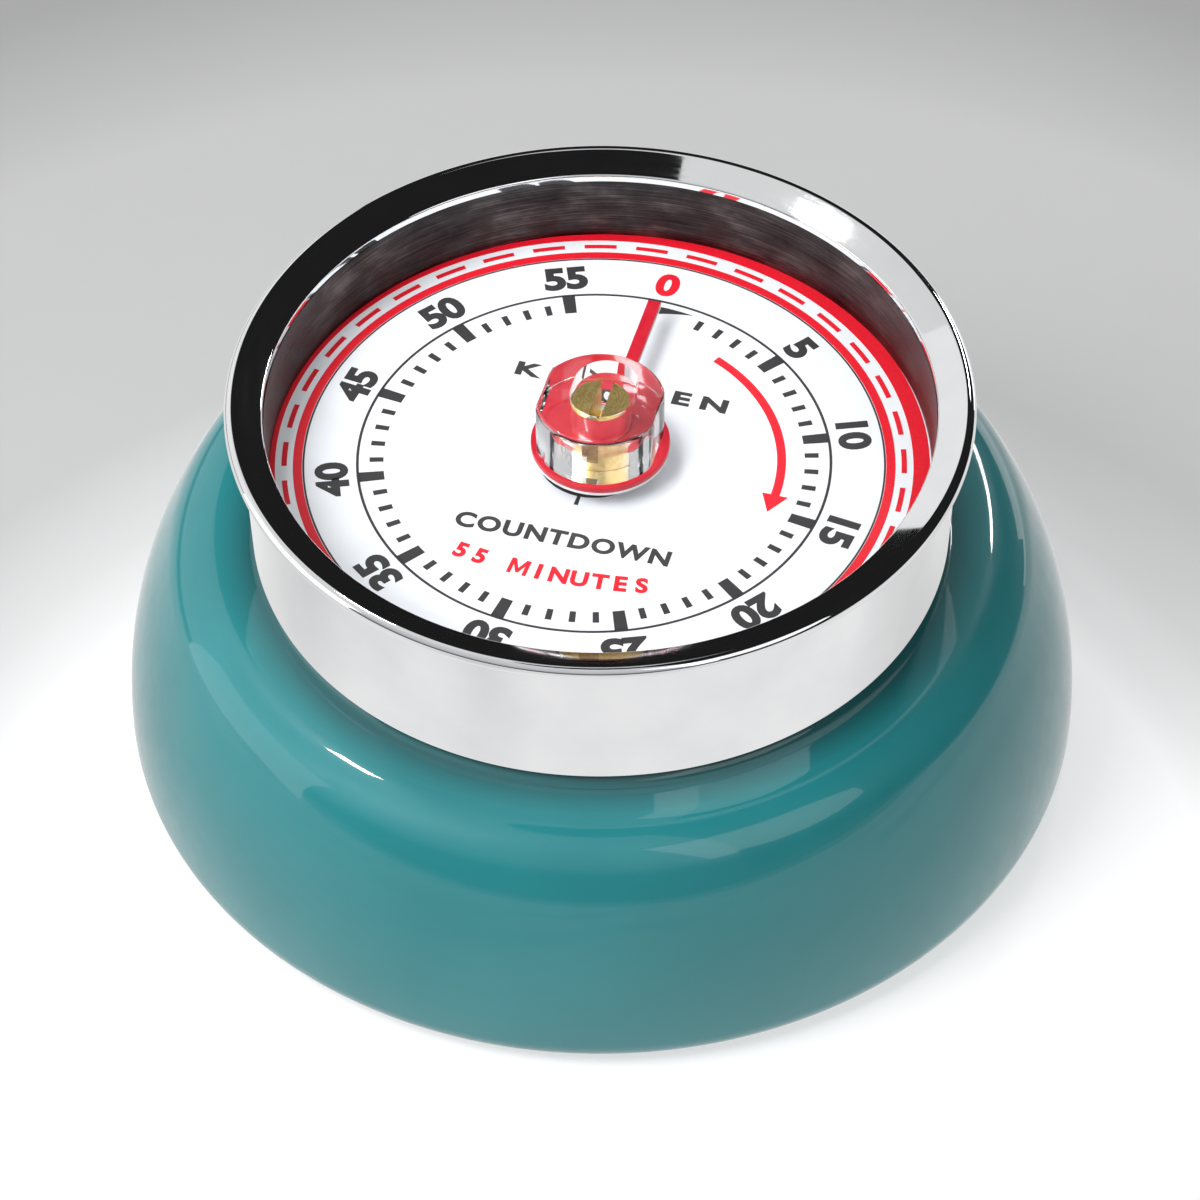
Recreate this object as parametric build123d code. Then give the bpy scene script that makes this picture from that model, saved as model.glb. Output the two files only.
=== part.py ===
"""Wind-up 55-minute kitchen timer: enamelled case, chrome bezel, dial, knob and clockwork.

Millimetres. +Z is up, the origin is the centre of the base's flat underside, on the knob's axis.
+Y is the way the pointer points when it stands at 0. Angles are degrees, counterclockwise from +X.
"""

import os
from math import acos, asin, atan, atan2, cos, degrees, hypot, pi, radians, sin, sqrt, tan

from build123d import *

os.makedirs("parts", exist_ok=True)

# Case
BODY_R = 35.0  # widest radius of the enamelled shell
WIDE_Z = 2.6  # height of the widest circle
EDGE_Z = 0.95  # lower edge of the shell, on the base plate's rim
SHELL_T = 1.2
SHOULDER_Z = 18.9  # flat top of the shoulder, under the bezel
NECK_R = 24.55  # outside of the neck that carries the bezel
FLANGE_Z = 24.9  # top of the neck's inward flange, where the dial lies
BASE_R = 33.5

# Bezel and dial
BEZEL_BOTTOM_Z = 19.85
BEZEL_TOP_Z = 32.05  # crest of the lip
BEZEL_IN_Z = 30.95  # inner edge of the dished top
DISH = 28.0  # slope of the top, down towards the dial
BEZEL_IN_R = 23.75
BEZEL_BORE_R = 24.62
LIP_R = 26.42
DIAL_Z = 25.4  # printed face
DIAL_T = 0.5
DIAL_R = 24.4
WALL_IN_R = 23.55

# Knob and pointer
KNOB_R = 4.65
WAIST_X = 4.2  # half width across the knob's waists
KNOB_BOTTOM_Z = 27.4
KNOB_TOP_Z = 31.5
POINTER_R = 14.8
POINTER_W = 0.95
POINTER_DISC_R = 4.95
POINTER_T = 0.65
SHAFT_R = 2.1
SHAFT_TOP_Z = 31.2
SLOT_W = 0.9

# Movement
FRONT_Z = (22.9, 24.1)
BACK_Z = (8.0, 9.2)
PLATE_R = 20.5
EAR_R = 22.3
EAR_ANGLES = (-30, 90, 210)
PILLAR_R = 18.6
PILLAR_ANGLES = (-148, 38, 95, 150)
POST_R = 18.9
POST_ANGLES = (-60, 60, 180)
FIT = 0.03  # radial running clearance of a pivot

# Train: tooth counts and modules of the three meshes, and where the arbors stand
MAIN_TEETH, MAIN_MODULE = 60, 0.40
SECOND_TEETH, SECOND_MODULE = 50, 0.30
THIRD_TEETH, THIRD_MODULE = 60, 0.26
PINION_TEETH = 10
ESCAPE_TEETH = 20
ESCAPE_R = 4.4
BACKLASH = 0.12  # share of the tooth thickness that is left out

MAIN_WHEEL_Z = (16.2, 17.2)
RATCHET_Z = (17.3, 18.1)
SECOND_WHEEL_Z = (18.6, 19.2)
THIRD_WHEEL_Z = (9.7, 10.2)
ESCAPE_WHEEL_Z = (20.4, 21.0)
CAM_Z = (20.0, 20.8)
LEVER_Z = (20.1, 20.7)
CLICK_Z = (17.35, 17.85)

BELL_CENTRE = (-3.0, -2.0)
BELL_R = 13.0
BELL_Z = (2.4, 6.6)
HAMMER_AT = (-9.46, 13.5)
HAMMER_LENGTH = 7.98
HAMMER_HEAD_R = 1.2
HAMMER_GAP = 0.4

RATCHET_TEETH = 24
CLICK_AT = (-5.2, -5.2)
CAM_R = 4.6
LEVER_NOSE_ANGLE = 60
LEVER_ARM = 9.0
MAGNET_R = 5.0
MAGNET_CIRCLE_R = 26.0
MAGNET_ANGLES = (45, 135, 225, 315)


# ---------------------------------------------------------------- small helpers
def at(radius, angle):
    """A point in plan from its distance to the axis and its angle."""
    return (radius * cos(radians(angle)), radius * sin(radians(angle)))


def disc(radius, z, centre=(0, 0)):
    """A plain cylinder between two heights."""
    body = Cylinder(radius, z[1] - z[0], align=(Align.CENTER, Align.CENTER, Align.MIN))
    return Pos(centre[0], centre[1], z[0]) * body


def ring(outer, inner, z, centre=(0, 0)):
    """A cylinder with a concentric hole through it."""
    return disc(outer, z, centre) - disc(inner, (z[0] - 1, z[1] + 1), centre)


def plate(points, z):
    """A flat piece with straight edges."""
    face = make_face(Polyline(*points, close=True))
    return Pos(0, 0, z[0]) * extrude(face, z[1] - z[0])


def link(start, end, width, z):
    """A flat bar with round ends."""
    length = hypot(end[0] - start[0], end[1] - start[1])
    angle = degrees(atan2(end[1] - start[1], end[0] - start[0]))
    bar = Box(length, width, z[1] - z[0], align=(Align.MIN, Align.CENTER, Align.MIN))
    bar = Pos(start[0], start[1], z[0]) * Rot(0, 0, angle) * bar
    return bar + disc(width / 2, z, start) + disc(width / 2, z, end)


def turned(points):
    """A solid of revolution about the axis, from straight lines in the (radius, height) plane."""
    return revolve(Plane.XZ * make_face(Polyline(*points, close=True)), Axis.Z)


def shaft(steps, centre=(0, 0)):
    """A stepped round shaft: each step is (radius, low, high)."""
    body = disc(steps[0][0], steps[0][1:], centre)
    for radius, low, high in steps[1:]:
        body = body + disc(radius, (low, high), centre)
    return body


def hexagon(flats, z, centre, hole):
    """A hexagonal nut with a round hole."""
    nut = extrude(RegularPolygon(flats / 2, 6, major_radius=False), z[1] - z[0])
    return Pos(centre[0], centre[1], z[0]) * nut - disc(hole, (z[0] - 1, z[1] + 1), centre)


def save(name, *solids):
    """Writes one node, which may be several separate solids."""
    body = solids[0] if len(solids) == 1 else Compound(list(solids))
    export_step(body, f"parts/{name}.step")


# ---------------------------------------------------------------- gears
def involute(angle):
    return tan(angle) - angle


def gear(teeth, module, z, phase, centre=(0, 0)):
    """A spur wheel with involute flanks; one tooth is centred on the phase angle."""
    pitch_r = teeth * module / 2
    base_r = pitch_r * cos(radians(20))
    root_r = pitch_r - 1.2 * module
    tip_r = pitch_r + 0.8 * module
    radii = (max(base_r, root_r + 0.1 * module), pitch_r, tip_r)
    half_at_pitch = pi / (2 * teeth) * (1 - BACKLASH)
    halves = []
    for radius in radii:
        spread = involute(radians(20)) - involute(acos(min(1, base_r / radius)))
        halves.append(half_at_pitch + spread)
    outline = []
    for tooth in range(teeth):
        middle = radians(phase) + 2 * pi * tooth / teeth
        flank = [(root_r, halves[0])] + list(zip(radii, halves))
        for radius, half in flank:
            outline.append((radius * cos(middle - half), radius * sin(middle - half)))
        for radius, half in reversed(flank):
            outline.append((radius * cos(middle + half), radius * sin(middle + half)))
    return Pos(centre[0], centre[1], 0) * plate(outline, z)


def meshed_phase(towards, phase, teeth, mate_teeth):
    """Phase of a mate that stands in the given direction, so that tooth meets gap."""
    pitch = 360 / teeth
    lead = phase + round((towards - phase) / pitch) * pitch - towards
    return towards + 180 - lead * teeth / mate_teeth + 180 / mate_teeth


def direction(start, end):
    return degrees(atan2(end[1] - start[1], end[0] - start[0]))


def span(teeth, module):
    """Distance between a wheel's arbor and its pinion's arbor."""
    return (teeth + PINION_TEETH) * module / 2


MAIN_AT = (0, 0)
SECOND_AT = at(span(MAIN_TEETH, MAIN_MODULE), -90)
TRAIN_R = 15.5  # the third and escape arbors stand on this circle
_reach = span(SECOND_TEETH, SECOND_MODULE)
_second_r = hypot(*SECOND_AT)
_third_step = degrees(acos((_second_r**2 + TRAIN_R**2 - _reach**2) / (2 * _second_r * TRAIN_R)))
THIRD_ANGLE = -90 + _third_step
THIRD_AT = at(TRAIN_R, THIRD_ANGLE)
_escape_step = degrees(2 * asin(span(THIRD_TEETH, THIRD_MODULE) / 2 / TRAIN_R))
ESCAPE_ANGLE = THIRD_ANGLE + _escape_step
ESCAPE_AT = at(TRAIN_R, ESCAPE_ANGLE)
PALLET_AT = at(16.0, 2.6)

MAIN_PHASE = 0.0
SECOND_PHASE = meshed_phase(direction(MAIN_AT, SECOND_AT), MAIN_PHASE, MAIN_TEETH, PINION_TEETH)
THIRD_PHASE = meshed_phase(
    direction(SECOND_AT, THIRD_AT), SECOND_PHASE, SECOND_TEETH, PINION_TEETH
)
ESCAPE_PHASE = meshed_phase(
    direction(THIRD_AT, ESCAPE_AT), THIRD_PHASE, THIRD_TEETH, PINION_TEETH
)


# ---------------------------------------------------------------- case
def body_shell():
    """Pressed dome with a soft shoulder, a neck for the bezel and a flange for the dial."""
    centre_r = 15.0
    rise = 24.75
    turn = 35.0
    end = (
        centre_r + (BODY_R - centre_r) * cos(radians(turn)),
        WIDE_Z + rise * sin(radians(turn)),
    )
    lean = atan(tan(radians(turn)) * (BODY_R - centre_r) / rise)
    shoulder_r = (SHOULDER_Z - end[1]) / (1 - sin(lean))
    hub = (end[0] - shoulder_r * cos(lean), SHOULDER_Z - shoulder_r)
    inner_r = shoulder_r - SHELL_T
    neck_in = NECK_R - SHELL_T
    inner_end = (hub[0] + inner_r * cos(lean), hub[1] + inner_r * sin(lean))
    inner_mid = (
        centre_r + (BODY_R - SHELL_T - centre_r) * cos(radians(turn / 2)),
        WIDE_Z + (rise - SHELL_T) * sin(radians(turn / 2)),
    )
    half = (lean + pi / 2) / 2
    foot_out = (BODY_R - 0.9, EDGE_Z)
    foot_in = (BODY_R - 2.3, EDGE_Z)
    wide = (BODY_R, WIDE_Z)
    fillet = 0.8
    lines = [
        Line(foot_in, foot_out),
        TangentArc(wide, foot_out, tangent=(0, -1)),
        EllipticalCenterArc(
            (centre_r, WIDE_Z), BODY_R - centre_r, rise, start_angle=0, arc_size=turn
        ),
        ThreePointArc(
            end,
            (hub[0] + shoulder_r * cos(half), hub[1] + shoulder_r * sin(half)),
            (hub[0], SHOULDER_Z),
        ),
        Line((hub[0], SHOULDER_Z), (NECK_R + fillet, SHOULDER_Z)),
        ThreePointArc(
            (NECK_R + fillet, SHOULDER_Z),
            (NECK_R + fillet * (1 - sqrt(0.5)), SHOULDER_Z + fillet * (1 - sqrt(0.5))),
            (NECK_R, SHOULDER_Z + fillet),
        ),
        Polyline(
            (NECK_R, SHOULDER_Z + fillet),
            (NECK_R, FLANGE_Z),
            (21.4, FLANGE_Z),
            (21.4, FLANGE_Z - 0.8),
            (neck_in, FLANGE_Z - 0.8),
            (neck_in, SHOULDER_Z - SHELL_T),
            (hub[0], SHOULDER_Z - SHELL_T),
        ),
        ThreePointArc(
            (hub[0], SHOULDER_Z - SHELL_T),
            (hub[0] + inner_r * cos(half), hub[1] + inner_r * sin(half)),
            inner_end,
        ),
        ThreePointArc(inner_end, inner_mid, (BODY_R - SHELL_T, WIDE_Z)),
        Line((BODY_R - SHELL_T, WIDE_Z), foot_in),
    ]
    shell = revolve(Plane.XZ * make_face(lines), Axis.Z)
    for angle in EAR_ANGLES:
        shell = shell - disc(0.82, (FLANGE_Z - 1.5, FLANGE_Z + 0.5), at(EAR_R, angle))
    return shell


def bezel():
    """Spun ring: band, rolled lip and a top that dishes in towards the dial."""
    roll = 0.53
    middle = (LIP_R - roll, BEZEL_TOP_Z - roll)
    under = (middle[0] + roll * cos(radians(-60)), middle[1] + roll * sin(radians(-60)))
    crest = (
        middle[0] - roll * sin(radians(DISH)),
        middle[1] + roll * cos(radians(DISH)),
    )
    edge_r = BEZEL_IN_R + 0.2
    edge = (edge_r, crest[1] - (crest[0] - edge_r) * tan(radians(DISH)))
    lines = [
        Polyline(
            under,
            (25.38, under[1] - 0.05),
            (25.08, BEZEL_BOTTOM_Z),
            (BEZEL_BORE_R, BEZEL_BOTTOM_Z),
            (BEZEL_BORE_R, BEZEL_IN_Z - 0.45),
            (BEZEL_IN_R, BEZEL_IN_Z - 0.45),
            (BEZEL_IN_R, BEZEL_IN_Z),
        ),
        ThreePointArc(
            (BEZEL_IN_R, BEZEL_IN_Z),
            (BEZEL_IN_R + 0.08, (BEZEL_IN_Z + edge[1]) / 2 + 0.03),
            edge,
        ),
        Line(edge, crest),
        ThreePointArc(crest, (LIP_R, middle[1]), under),
    ]
    return revolve(Plane.XZ * make_face(lines), Axis.Z)


def wall_ring():
    """Galvanised ring that stands on the dial, inside the bezel."""
    top = BEZEL_IN_Z - 0.45
    return turned([(WALL_IN_R, DIAL_Z), (24.5, DIAL_Z), (24.5, top), (WALL_IN_R + 0.15, top)])


def base_plate():
    """Steel bottom with a locating rim, four magnet cups and three screw holes."""
    body = chamfer(disc(BASE_R, (0, EDGE_Z)).edges().group_by(Axis.Z)[0], 0.3)
    body = body + ring(32.4, 31.4, (EDGE_Z, 3.0))
    for angle in MAGNET_ANGLES:
        spot = at(MAGNET_CIRCLE_R, angle)
        body = body + disc(MAGNET_R + 0.6, (0.3, 3.4), spot)
    for angle in MAGNET_ANGLES:
        body = body - disc(MAGNET_R + 0.02, (-1, 2.65), at(MAGNET_CIRCLE_R, angle))
    for angle in POST_ANGLES:
        spot = at(POST_R, angle)
        body = body - disc(0.85, (-1, 2), spot) - disc(1.75, (-1, 0.55), spot)
    return body


def magnets():
    return [disc(MAGNET_R, (0.05, 2.65), at(MAGNET_CIRCLE_R, a)) for a in MAGNET_ANGLES]


def base_screws():
    screws = []
    for angle in POST_ANGLES:
        spot = at(POST_R, angle)
        screw = disc(1.6, (0.05, 0.55), spot) + disc(0.8, (0.55, 5.0), spot)
        screws.append(screw - Pos(spot[0], spot[1], 0.15) * Box(4, 0.4, 0.25))
    return screws


def base_posts():
    """Posts that carry the movement over the base plate."""
    posts = []
    for angle in POST_ANGLES:
        spot = at(POST_R, angle)
        post = disc(1.5, (EDGE_Z, BACK_Z[0]), spot) + disc(0.8, BACK_Z, spot)
        posts.append(post - disc(0.82, (0, 5.4), spot))
    return posts


# ---------------------------------------------------------------- movement frame
def pivots():
    """(centre, pivot radius) of every arbor that runs in both plates."""
    return (
        (SECOND_AT, 0.5),
        (THIRD_AT, 0.5),
        (ESCAPE_AT, 0.4),
        (PALLET_AT, 0.4),
    )


def front_plate():
    """Brass plate under the dial, with three ears that reach under the neck's flange."""
    body = disc(PLATE_R, FRONT_Z)
    for angle in EAR_ANGLES:
        body = body + link(at(16, angle), at(EAR_R - 1.8, angle), 5.0, FRONT_Z)
    body = body & disc(23.0, FRONT_Z)
    for angle in EAR_ANGLES:
        body = body - disc(0.83, (FRONT_Z[0] - 1, FRONT_Z[1] + 1), at(EAR_R, angle))
    for angle in PILLAR_ANGLES:
        body = body - disc(0.82, (FRONT_Z[0] - 1, FRONT_Z[1] + 1), at(PILLAR_R, angle))
    for centre, radius in pivots():
        body = body - disc(radius + FIT, (FRONT_Z[0] - 1, FRONT_Z[1] + 1), centre)
    for centre, radius in ((MAIN_AT, SHAFT_R), (HAMMER_AT, 0.5)):
        body = body - disc(radius + FIT, (FRONT_Z[0] - 1, FRONT_Z[1] + 1), centre)
    body = body - disc(0.82, (FRONT_Z[0] - 1, FRONT_Z[1] + 1), LEVER_AT)
    return body - disc(0.72, (FRONT_Z[0] - 1, FRONT_Z[1] + 1), HAMMER_SPRING_AT)


def back_plate():
    """Brass plate over the bell."""
    through = (BACK_Z[0] - 1, BACK_Z[1] + 1)
    body = disc(PLATE_R, BACK_Z)
    for angle in PILLAR_ANGLES:
        body = body - disc(0.82, through, at(PILLAR_R, angle))
    for angle in POST_ANGLES:
        body = body - disc(0.82, through, at(POST_R, angle))
    for centre, radius in pivots():
        body = body - disc(radius + FIT, through, centre)
    body = body - disc(1.2 + FIT, through, MAIN_AT) - disc(0.6 + FIT, through, HAMMER_AT)
    body = body - disc(1.22, through, BELL_CENTRE)
    return body - disc(0.72, through, SPRING_POST_AT)


def plate_pillars():
    """Shouldered pillars; the lower tenons are threaded for nuts."""
    pillars = []
    for angle in PILLAR_ANGLES:
        steps = ((0.8, 6.9, BACK_Z[1]), (1.6, BACK_Z[1], FRONT_Z[0]), (0.8, FRONT_Z[0], FRONT_Z[1]))
        pillars.append(shaft(steps, at(PILLAR_R, angle)))
    return pillars


def pillar_nuts():
    return [hexagon(2.8, (6.9, BACK_Z[0]), at(PILLAR_R, a), 0.82) for a in PILLAR_ANGLES]


def movement_screws():
    """Screws that hang the front plate's ears from the neck's flange."""
    screws = []
    for angle in EAR_ANGLES:
        spot = at(EAR_R, angle)
        screw = disc(1.0, (FRONT_Z[0] - 0.8, FRONT_Z[0]), spot)
        screw = screw + disc(0.8, (FRONT_Z[0], FLANGE_Z - 0.05), spot)
        screws.append(screw - Pos(spot[0], spot[1], FRONT_Z[0] - 0.7) * Box(3, 0.35, 0.3))
    return screws


def bell():
    """Turned steel cup, open side down."""
    wall = 0.7
    low, high = BELL_Z
    outer = fillet(disc(BELL_R, (low, high)).edges().group_by(Axis.Z)[-1], 1.8)
    inner = disc(BELL_R - wall, (low - 1, high - wall))
    inner = fillet(inner.edges().group_by(Axis.Z)[-1], 1.2)
    cup = outer - inner - disc(0.92, (low, high + 1))
    return Pos(BELL_CENTRE[0], BELL_CENTRE[1], 0) * cup


def bell_post():
    steps = ((0.9, 4.6, 6.6), (2.0, 6.6, BACK_Z[0]), (1.2, BACK_Z[0], BACK_Z[1]))
    return shaft(steps, BELL_CENTRE)


def bell_nut():
    return hexagon(3.2, (4.7, BELL_Z[1] - 0.7), BELL_CENTRE, 0.92)


# ---------------------------------------------------------------- mainspring
SPRING_TURNS = 5
SPRING_IN_R = 3.3
SPRING_OUT_R = 10.2
SPRING_T = 0.3
SPRING_Z = (10.9, 14.7)
SPRING_POST_AT = at(SPRING_OUT_R + SPRING_T / 2 + 0.75, 250)


def mainspring():
    """Flat spiral, drawn let down; its outer end lies against the spring post."""
    inner, outer = [], []
    samples = SPRING_TURNS * 16
    for step in range(samples + 1):
        share = step / samples
        angle = 250 - 360 * SPRING_TURNS * (1 - share)
        middle = SPRING_IN_R + (SPRING_OUT_R - SPRING_IN_R) * share
        inner.append(at(middle - SPRING_T / 2, angle))
        outer.append(at(middle + SPRING_T / 2, angle))
    edges = [
        Spline(*inner),
        Line(inner[-1], outer[-1]),
        Spline(*reversed(outer)),
        Line(outer[0], inner[0]),
    ]
    return Pos(0, 0, SPRING_Z[0]) * extrude(make_face(edges), SPRING_Z[1] - SPRING_Z[0])


def spring_post():
    return shaft(((0.7, BACK_Z[0], 15.1),), SPRING_POST_AT)


# ---------------------------------------------------------------- knob, pointer and main arbor
def knob():
    """Clear finger knob: two shallow waists, and a pocket round the split shaft's end."""
    waist_r = 25.0
    body = disc(KNOB_R, (KNOB_BOTTOM_Z, KNOB_TOP_Z))
    for side in (0, 180):
        body = body - disc(waist_r, (KNOB_BOTTOM_Z - 1, KNOB_TOP_Z + 1), at(WAIST_X + waist_r, side))
    body = fillet(body.edges().filter_by(Axis.Z), 0.8)
    body = chamfer(body.edges().group_by(Axis.Z)[-1], 0.12)
    pocket = extrude(Pos(0, 1.0, KNOB_TOP_Z - 1.2) * SlotOverall(5.7, 4.55, rotation=90), 5)
    return body - pocket - disc(SHAFT_R, (KNOB_BOTTOM_Z - 1, SHAFT_TOP_Z))


def pointer():
    """Red disc with a straight finger."""
    z = (KNOB_BOTTOM_Z - POINTER_T, KNOB_BOTTOM_Z)
    finger = Pos(0, POINTER_R / 2, (z[0] + z[1]) / 2) * Box(POINTER_W, POINTER_R, POINTER_T)
    return disc(POINTER_DISC_R, z) + finger - disc(SHAFT_R, (z[0] - 1, z[1] + 1))


def hub_sleeve():
    """Black sleeve between the dial and the pointer."""
    return ring(3.0, SHAFT_R, (DIAL_Z + 0.25, KNOB_BOTTOM_Z - POINTER_T))


def main_arbor():
    """Brass shaft: pivot, spring hub, and a split end that grips the knob."""
    steps = (
        (1.2, 7.4, 9.3),
        (2.0, 9.3, 10.7),
        (3.0, 10.7, 14.9),
        (SHAFT_R, 14.9, SHAFT_TOP_Z),
    )
    body = shaft(steps)
    slot_depth = 3.0
    slot = Box(SLOT_W, 6, slot_depth + 1, align=(Align.CENTER, Align.CENTER, Align.MIN))
    return body - Pos(0, 0, SHAFT_TOP_Z - slot_depth) * slot


def ratchet_wheel():
    """Saw teeth: the steep faces look counterclockwise, the way the spring drives."""
    tip_r, root_r = 4.2, 3.6
    pitch = 360 / RATCHET_TEETH
    outline = []
    for tooth in range(RATCHET_TEETH):
        start = 178 + pitch * tooth
        outline.append(at(root_r, start))
        outline.append(at(tip_r, start + pitch))
    return plate(outline, RATCHET_Z) - disc(SHAFT_R, (17, 19))


def cam_sleeve():
    return ring(2.9, SHAFT_R, (RATCHET_Z[1], CAM_Z[0]))


def release_cam():
    """Round cam with one notch, which faces the lever's nose when the pointer stands at 0."""
    body = disc(CAM_R, CAM_Z)
    notch = Box(2.4, 2.2, 2, align=(Align.MIN, Align.CENTER, Align.CENTER))
    body = body - Rot(0, 0, LEVER_NOSE_ANGLE) * Pos(3.3, 0, sum(CAM_Z) / 2) * notch
    return body - disc(SHAFT_R, (19, 22))


# ---------------------------------------------------------------- main wheel and click
def main_wheel():
    """Great wheel, loose on the arbor and driven through the ratchet."""
    body = gear(MAIN_TEETH, MAIN_MODULE, MAIN_WHEEL_Z, MAIN_PHASE)
    body = body + disc(3.4, (15.2, MAIN_WHEEL_Z[0]))
    body = body - disc(SHAFT_R + FIT, (14, 18))
    for index in range(5):
        body = body - disc(2.2, (15, 18), at(7.6, -85 + 50 * index))
    return body


def click_stud():
    z = MAIN_WHEEL_Z[1]
    return shaft(((0.6, z, CLICK_Z[1] + 0.1), (1.0, CLICK_Z[1] + 0.1, 18.25)), CLICK_AT)


def click():
    """Pawl that drops between the ratchet's teeth."""
    points = [
        at(3.72, 179),
        at(4.05, 186),
        (-4.5, -4.6),
        (-6.2, -4.9),
        (-5.2, 0.3),
    ]
    body = plate(points, CLICK_Z) + disc(1.25, CLICK_Z, CLICK_AT)
    return body - disc(0.6 + FIT, (17, 19), CLICK_AT)


def click_spring():
    """Thin leaf on a pin, bearing on the click's back."""
    foot = (-8.7, 3.6)
    body = link(foot, (-5.86, -1.5), 0.22, CLICK_Z)
    return body + disc(0.6, (MAIN_WHEEL_Z[1], CLICK_Z[1] + 0.15), foot)


# ---------------------------------------------------------------- train
def wheel(teeth, module, z, phase, centre, bore, windows, window_r):
    """A crossed-out train wheel, pressed on its arbor."""
    body = gear(teeth, module, z, phase, centre) - disc(bore, (z[0] - 1, z[1] + 1), centre)
    reach = teeth * module / 2 * 0.56
    for index in range(windows):
        offset = at(reach, phase + 360 / windows * (index + 0.5))
        spot = (centre[0] + offset[0], centre[1] + offset[1])
        body = body - disc(window_r, (z[0] - 1, z[1] + 1), spot)
    return body


def second_arbor():
    steps = ((0.5, 8.1, 9.4), (0.6, 9.4, 15.8), (0.9, 15.8, 22.7), (0.5, 22.7, 24.0))
    pinion = gear(PINION_TEETH, MAIN_MODULE, (15.8, 17.6), SECOND_PHASE, SECOND_AT)
    return shaft(steps, SECOND_AT) + pinion


def third_arbor():
    steps = ((0.5, 8.1, 9.4), (0.8, 9.4, 22.7), (0.5, 22.7, 24.0))
    pinion = gear(PINION_TEETH, SECOND_MODULE, (18.3, 19.5), THIRD_PHASE, THIRD_AT)
    return shaft(steps, THIRD_AT) + pinion


def escape_arbor():
    steps = ((0.4, 8.1, 9.35), (0.7, 9.35, 22.7), (0.4, 22.7, 24.0))
    pinion = gear(PINION_TEETH, THIRD_MODULE, (9.45, 10.45), ESCAPE_PHASE, ESCAPE_AT)
    return shaft(steps, ESCAPE_AT) + pinion


def escape_wheel():
    """Pointed teeth, set a quarter pitch off both pallet pins."""
    pitch = 360 / ESCAPE_TEETH
    middle = direction(ESCAPE_AT, PALLET_AT)
    outline = []
    for tooth in range(ESCAPE_TEETH):
        centre = middle - PALLET_HALF_SPAN + pitch * (0.25 + tooth)
        outline.append(at(3.5, centre - 5.5))
        outline.append(at(ESCAPE_R, centre - 0.5))
        outline.append(at(ESCAPE_R, centre + 0.5))
        outline.append(at(3.5, centre + 5.5))
    body = plate(outline, ESCAPE_WHEEL_Z) - disc(0.7, (20, 22))
    for index in range(4):
        body = body - disc(0.75, (20, 22), at(2.2, 90 * index))
    return Pos(ESCAPE_AT[0], ESCAPE_AT[1], 0) * body


# ---------------------------------------------------------------- pallets
PALLET_HALF_SPAN = 31.5  # half of three and a half tooth pitches
PIN_R = 0.22
PIN_GAP = 0.12


def pin_spots():
    middle = direction(ESCAPE_AT, PALLET_AT)
    reach = ESCAPE_R + PIN_R + PIN_GAP
    spots = []
    for side in (-1, 1):
        offset = at(reach, middle + side * PALLET_HALF_SPAN)
        spots.append((ESCAPE_AT[0] + offset[0], ESCAPE_AT[1] + offset[1]))
    return spots


def pallet_lever():
    """Two arms over the escape wheel and a weighted tail."""
    z = (21.3, 21.9)
    away = direction(ESCAPE_AT, PALLET_AT)
    tail = at(4.2, away)
    end = (PALLET_AT[0] + tail[0], PALLET_AT[1] + tail[1])
    body = disc(1.3, z, PALLET_AT) + link(PALLET_AT, end, 1.0, z) + disc(1.3, z, end)
    for spot in pin_spots():
        body = body + link(PALLET_AT, spot, 0.9, z)
    return body - disc(0.6, (21, 22.5), PALLET_AT)


def pallet_pins():
    return [disc(PIN_R, (20.2, 21.3), spot) for spot in pin_spots()]


def pallet_arbor():
    return shaft(((0.4, 8.1, 9.35), (0.6, 9.35, 22.7), (0.4, 22.7, 24.0)), PALLET_AT)


# ---------------------------------------------------------------- release lever
_arm_end = at(6.5, LEVER_NOSE_ANGLE)
_arm_back = at(LEVER_ARM, LEVER_NOSE_ANGLE + 90)
LEVER_AT = (_arm_end[0] + _arm_back[0], _arm_end[1] + _arm_back[1])


def lever_stud():
    """Headed stud riveted in the front plate."""
    steps = (
        (1.15, 19.5, 19.9),
        (0.8, 19.9, 20.9),
        (1.2, 20.9, FRONT_Z[0]),
        (0.8, FRONT_Z[0], FRONT_Z[1]),
    )
    return shaft(steps, LEVER_AT)


def release_lever():
    """Feels the cam's notch and lets the hammer go."""
    body = disc(1.5, LEVER_Z, LEVER_AT) + link(LEVER_AT, _arm_end, 1.4, LEVER_Z)
    body = body + link(_arm_end, at(CAM_R + 0.12 + 0.45, LEVER_NOSE_ANGLE), 0.9, LEVER_Z)
    tail = at(2.4, direction(LEVER_AT, HAMMER_AT))
    body = body + link(LEVER_AT, (LEVER_AT[0] + tail[0], LEVER_AT[1] + tail[1]), 1.0, LEVER_Z)
    return body - disc(0.8 + FIT, (19, 22), LEVER_AT)


# ---------------------------------------------------------------- hammer
HAMMER_SPRING_AT = (-13.4, 13.0)


def hammer_head_at():
    """Where the head stands off the bell, on the arc the arm allows."""
    reach = BELL_R + HAMMER_GAP + HAMMER_HEAD_R
    apart = hypot(HAMMER_AT[0] - BELL_CENTRE[0], HAMMER_AT[1] - BELL_CENTRE[1])
    turn = degrees(acos((apart**2 + reach**2 - HAMMER_LENGTH**2) / (2 * apart * reach)))
    offset = at(reach, direction(BELL_CENTRE, HAMMER_AT) + turn)
    return (BELL_CENTRE[0] + offset[0], BELL_CENTRE[1] + offset[1])


def hammer_arbor():
    return shaft(((0.6, 5.2, 22.7), (0.5, 22.7, 24.0)), HAMMER_AT)


def hammer_arm():
    z = (5.3, 6.1)
    body = disc(1.2, z, HAMMER_AT) + link(HAMMER_AT, hammer_head_at(), 0.9, z)
    return body - disc(0.6, (5, 7), HAMMER_AT) - disc(0.6, (5, 7), hammer_head_at())


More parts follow.
